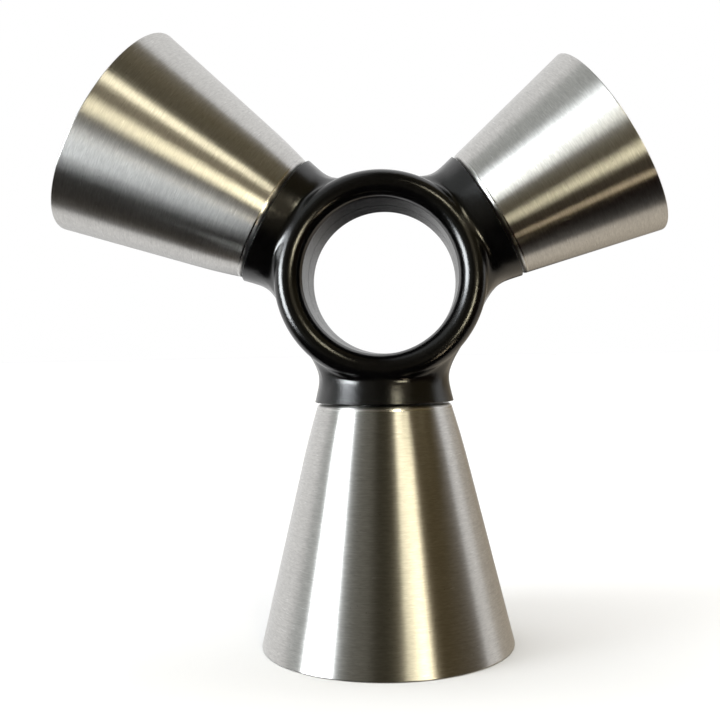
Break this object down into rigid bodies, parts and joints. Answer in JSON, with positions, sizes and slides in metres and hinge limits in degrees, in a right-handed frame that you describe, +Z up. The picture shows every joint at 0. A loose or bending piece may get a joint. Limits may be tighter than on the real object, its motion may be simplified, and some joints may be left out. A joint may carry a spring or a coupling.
{
  "type": "bar jigger",
  "caption": "Bar jigger: conical brushed-steel measuring cups of different sizes, set evenly around a black finger ring that joins them.",
  "frame": {"origin": "middle of the bottom of the bounding box, on the surface that the large cup's mouth stands on", "axes": "+Z up, away from the surface; the finger ring's axis lies along Y with the front towards -Y; +X points to the side of the small cup"},
  "size_m": [0.1306, 0.0534, 0.1316],
  "materials": {
    "cup_steel": "brushed round the cup",
    "stud_steel": "turned",
    "hub_black": "satin, finely grained",
    "gasket_rubber": "matte",
    "screw_black": "blackened",
    "insert_brass": "turned"
  },
  "bodies": {
    "root": {"hub_front_shell": "hub_black", "hub_rear_shell": "hub_black", "large_cup": "cup_steel", "medium_cup": "cup_steel", "small_cup": "cup_steel", "large_cup_stud": "stud_steel", "medium_cup_stud": "stud_steel", "small_cup_stud": "stud_steel", "large_cup_gasket": "gasket_rubber", "medium_cup_gasket": "gasket_rubber", "small_cup_gasket": "gasket_rubber", "hub_screw_top": "screw_black", "hub_screw_left": "screw_black", "hub_screw_right": "screw_black", "screw_insert_top": "insert_brass", "screw_insert_left": "insert_brass", "screw_insert_right": "insert_brass"}
  },
  "joints": []
}
